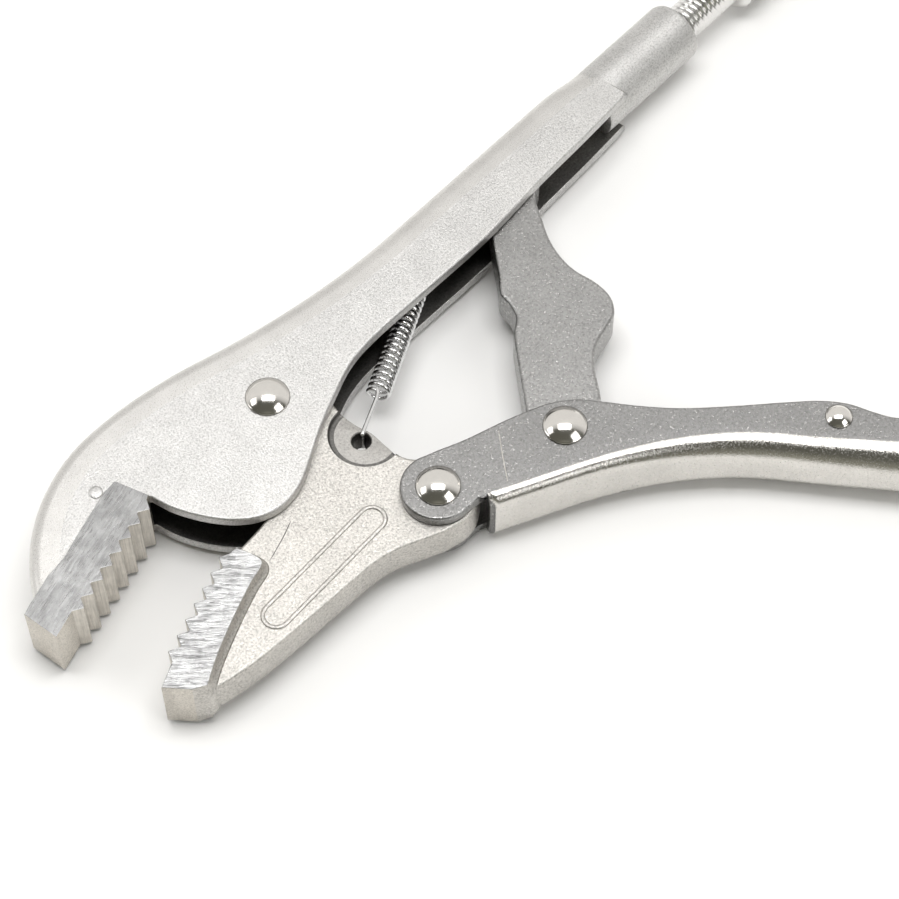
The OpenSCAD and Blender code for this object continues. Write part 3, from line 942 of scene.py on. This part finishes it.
def make_lever():
    skin = Skin()
    low, high = MID - LEVER_W / 2, MID + LEVER_W / 2
    ear = smooth_line(LEVER_EAR + LEVER_EAR[:1], 4)[:-1]
    for z in (low, high - LEVER_T):
        plate(skin, ear, rounded_profile(z, z + LEVER_T, 0.35, 3))
    tail = stations(LEVER_TAIL, LEVER_START, 2)
    left, right = [], []
    for place in tail:
        x, y, a = place[0], place[1], math.radians(place[2])
        nx, ny = -math.sin(a) * LEVER_T / 2, math.cos(a) * LEVER_T / 2
        left.append((x + nx, y + ny))
        right.append((x - nx, y - ny))
    plate(skin, left + list(reversed(right)), rounded_profile(low, high, 0.35, 3))
    centre, r = LEVER_NOSE
    bottom, top = low + 0.02, high - 0.02
    lathe(skin, [(NEAR_AXIS, bottom), (r, bottom), (r, top), (NEAR_AXIS, top)],
          (*centre, 0), "Z", 32)
    build("release_lever_fold", skin, SHEET_GREY, "release", ["release_lever"])


# ---- screw, knob and spring ----

SCREW_LOW, SCREW_HIGH = box_mm("adjusting_screw")
KNOB_LOW, KNOB_HIGH = box_mm("screw_knob")
SCREW_AXIS = ((SCREW_LOW.y + SCREW_HIGH.y) / 2, (SCREW_LOW.z + SCREW_HIGH.z) / 2)
SCREW_R = (SCREW_HIGH.y - SCREW_LOW.y) / 2
KNOB_R = (KNOB_HIGH.y - KNOB_LOW.y) / 2


def wave(t):
    """Triangle wave, 0 at whole numbers and 1 half way between."""
    return 1 - abs(2 * (t - math.floor(t)) - 1)


def ring_x(x, radii):
    """Ring about the screw's axis at x, with one radius per point."""
    n = len(radii)
    return [(x, SCREW_AXIS[0] + r * math.cos(2 * math.pi * k / n),
             SCREW_AXIS[1] + r * math.sin(2 * math.pi * k / n)) for k, r in enumerate(radii)]


def make_screw():
    """Threaded rod with a chamfered tip, stopping just short of the knob."""
    pitch, depth, chamfer, end_gap, segments = 1.5, 0.75, 1.6, 0.05, 48
    length = SCREW_HIGH.x - SCREW_LOW.x - end_gap
    rows = round(length / pitch * 8)
    skin = Skin()
    rings = []
    for i in range(rows + 1):
        x = SCREW_LOW.x + length * i / rows
        tip = min(x - SCREW_LOW.x + SCREW_R - chamfer, SCREW_R)
        radii = []
        for k in range(segments):
            cut = min(max(1.25 * wave(x / pitch - k / segments) - 0.12, 0), 1)
            radii.append(min(SCREW_R - depth * cut, tip))
        rings.append(skin.add(ring_x(x, radii)))
    skin.loft(rings)
    build("screw_thread", skin, BRIGHT, "screw", ["adjusting_screw"],
          weighted=False)


def make_knob():
    """Diamond-knurled knob with bevelled ends and a dished rear face."""
    segments, rows, crests, depth, bevel, run_out = 240, 140, 40, 0.42, 1.2, 0.8
    length = KNOB_HIGH.x - KNOB_LOW.x
    lead = 2 * math.pi * KNOB_R / crests
    front = [(NEAR_AXIS, 0), (KNOB_R - 1.9, 0), (KNOB_R - 1.5, 0.15)]
    rear = [(KNOB_R - 1.5, length - 0.15), (KNOB_R - 1.9, length), (3.2, length),
            (2.4, length - 0.5), (NEAR_AXIS, length - 0.7)]
    skin = Skin()
    rings = [skin.add(ring_x(KNOB_LOW.x + x, [r] * segments)) for r, x in front]
    for i in range(rows + 1):
        x = 0.4 + (length - 0.8) * i / rows
        from_end = min(x, length - x)
        cap = KNOB_R - max(bevel - from_end, 0) * 0.9
        fade = min(max((from_end - bevel) / run_out, 0), 1)
        radii = []
        for k in range(segments):
            turn = crests * k / segments
            groove = min(wave(turn + x / lead), wave(turn - x / lead))
            radii.append(cap - depth * (1 - min(1.6 * groove, 1)) * fade)
        rings.append(skin.add(ring_x(KNOB_LOW.x + x, radii)))
    rings += [skin.add(ring_x(KNOB_LOW.x + x, [r] * segments)) for r, x in rear]
    skin.loft(rings)
    build("knurled_knob", skin, BRIGHT, "knob", ["screw_knob"], weighted=False)


def make_spring():
    mean = COIL_R - WIRE_D / 2
    heading = math.radians(COIL_HEADING)
    along = Vector((math.cos(heading), math.sin(heading), 0))
    side = Vector((-math.sin(heading), math.cos(heading), 0))
    start = Vector((COIL_START.x, COIL_START.y, MID))
    turns = COIL_LEN / COIL_PITCH
    coil = []
    per_turn = 28
    for k in range(round(turns * per_turn) + 1):
        a = 2 * math.pi * k / per_turn
        coil.append(start + along * (COIL_PITCH * k / per_turn)
                    + mean * (math.cos(a) * Vector((0, 0, 1)) + math.sin(a) * side))
    spot_top = MID + BODY_W / 2 - SPOT_DEPTH
    down = Vector((HOOK_AT.x, HOOK_AT.y, spot_top + 1.0))
    front = [Vector((HOOK_AT.x, HOOK_AT.y, MID - 1)), Vector((HOOK_AT.x, HOOK_AT.y, MID + 2.5)),
             down - Vector((0, 0, 0.7)), down + along * 0.7,
             coil[0] - along * 2.2 - side * 0.5 + Vector((0, 0, 0.25))]
    first = smooth_line([tuple(p) for p in front] + [tuple(coil[0])], 8)
    end = coil[-1]
    tab = Vector((TAB_AT.x, TAB_AT.y, MID))
    rear = [tuple(end), tuple(end + along * 1.2),
            tuple(tab + Vector((-2.0, -0.4, 1.2))), tuple(tab + Vector((0, -0.2, 0.3))),
            tuple(tab + Vector((1.6, 0.2, -0.6)))]
    last = smooth_line(rear, 8)
    line = [Vector(p) for p in first[:-1]] + coil + [Vector(p) for p in last[1:]]
    skin = Skin()
    tube_along(skin, line, WIRE_D / 2)
    spring = build("spring_coils", skin, WIRE, None, ["opening_spring"],
                   weighted=False)
    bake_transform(spring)


make_upper_shell()
make_thread_tube()
make_spring_tab()
make_upper_jaw()
make_welds()
make_lower_jaw()
make_tooth_block()
make_panel()
make_lower_handle()
# a real raised flash line on the jaw, whose near-black colour is painted shade
ridge("jaw_flash_line", [(-17.2, -23.1), (-21, -24.6), (-26.8, -26.4)], 0.3, 0.05,
      MID + BODY_W / 2, SHADED, "moving_jaw")
# raised press line on the lower cheek, given the lighter fold plating with its painted sheen
ridge("press_mark", [(26.5, -40.9), (22.5, -45.6), (18.3, -50.8)], 0.45, 0.05, CHEEK_HIGH,
      FOLD_GREY_PAINTED_SHEEN, "lower_half")
make_link()
make_lever()
make_screw()
make_knob()
make_spring()
make_rivet("main_rivet_head", JAW_PIVOT, "upper_half", "main_rivet")
make_rivet("jaw_rivet_head", HANDLE_PIVOT, "lower_half", "jaw_rivet")
make_rivet("link_rivet_head", LINK_PIVOT, "lower_half", "link_rivet")
make_rivet("lever_rivet_head", LEVER_PIVOT, "lower_half", "lever_rivet", 2.95, 1.6)

# ---- floor, light and camera ----

TARGET = Vector((16.09, -36.67, 15.6)) * MM
AZIMUTH = math.radians(-47.7)
ELEVATION = math.radians(59)
DISTANCE = 0.5567
LENS_MM = 108.1
FLOOR_HALF = 3.0
FLOOR_COLOUR = (0.95, 0.945, 0.935, 1)
SKY = [(0.0, 0.36), (0.12, 0.13), (0.44, 0.10), (0.53, 0.6), (0.66, 0.92), (1.0, 0.9)]
BACK = Vector((math.sin(AZIMUTH) * math.cos(ELEVATION),
               -math.cos(AZIMUTH) * math.cos(ELEVATION), math.sin(ELEVATION)))
AWAY = Vector((-BACK.x, -BACK.y, 0)).normalized()
RIGHT = Vector((AWAY.y, -AWAY.x, 0))


def make_floor():
    mesh = bpy.data.meshes.new("floor")
    s = FLOOR_HALF
    mesh.from_pydata([(-s, -s, 0), (s, -s, 0), (s, s, 0), (-s, s, 0)], [], [(0, 1, 2, 3)])
    floor = bpy.data.objects.new("floor", mesh)
    bpy.context.scene.collection.objects.link(floor)
    material = bpy.data.materials.new("floor")
    material.use_nodes = True
    shader = material.node_tree.nodes["Principled BSDF"]
    shader.inputs["Base Color"].default_value = FLOOR_COLOUR
    shader.inputs["Roughness"].default_value = 0.6
    shader.inputs["Specular IOR Level"].default_value = 0.1
    mesh.materials.append(material)


def make_light(name, place, size, power):
    """Rectangular lamp aimed at the middle of the pliers."""
    data = bpy.data.lights.new(name, "AREA")
    data.shape = "RECTANGLE"
    data.size, data.size_y = size
    data.energy = power
    lamp = bpy.data.objects.new(name, data)
    lamp.location = place
    lamp.rotation_euler = (TARGET - place).to_track_quat("-Z", "Y").to_euler()
    bpy.context.scene.collection.objects.link(lamp)


def make_world():
    """Sky for the metal to reflect: mostly dark on the camera's side, pale on the far side."""
    world = bpy.data.worlds.new("studio")
    bpy.context.scene.world = world
    world.use_nodes = True
    tree = world.node_tree
    back = tree.nodes["Background"]
    place = tree.nodes.new("ShaderNodeTexCoord").outputs["Generated"]
    dot = tree.nodes.new("ShaderNodeVectorMath")
    dot.operation = "DOT_PRODUCT"
    dot.inputs[1].default_value = (AWAY.x, AWAY.y, 0)
    tree.links.new(place, dot.inputs[0])
    ramp = tree.nodes.new("ShaderNodeValToRGB")
    shift = tree.nodes.new("ShaderNodeMapRange")
    shift.inputs["From Min"].default_value = -1
    tree.links.new(dot.outputs["Value"], shift.inputs["Value"])
    tree.links.new(shift.outputs["Result"], ramp.inputs["Fac"])
    elements = ramp.color_ramp.elements
    while len(elements) < len(SKY):
        elements.new(0.5)
    for element, (at, value) in zip(elements, SKY):
        element.position = at
        element.color = (value, value * 0.985, value * (0.96 if value > 0.5 else 0.82), 1)
    tree.links.new(ramp.outputs["Color"], back.inputs["Color"])
    back.inputs["Strength"].default_value = 0.95


def make_camera():
    data = bpy.data.cameras.new("camera")
    data.lens = LENS_MM
    data.sensor_width = 36
    data.clip_start = 0.01
    data.clip_end = 20
    camera = bpy.data.objects.new("camera", data)
    camera.location = TARGET + BACK * DISTANCE
    camera.rotation_euler = (-BACK).to_track_quat("-Z", "Y").to_euler()
    bpy.context.scene.collection.objects.link(camera)
    bpy.context.scene.camera = camera


make_floor()
make_world()
make_light("overhead", TARGET + AWAY * 0.06 + Vector((0, 0, 1.0)), (0.85, 0.36), 6.6)
make_light("left", TARGET - RIGHT * 0.9 + Vector((0, 0, 0.55)), (0.4, 0.4), 1.2)
make_light("fill", TARGET - AWAY * 0.45 + RIGHT * 0.7 + Vector((0, 0, 0.6)), (0.5, 0.5), 2.5)
make_camera()
bpy.context.scene.view_settings.view_transform = "Standard"
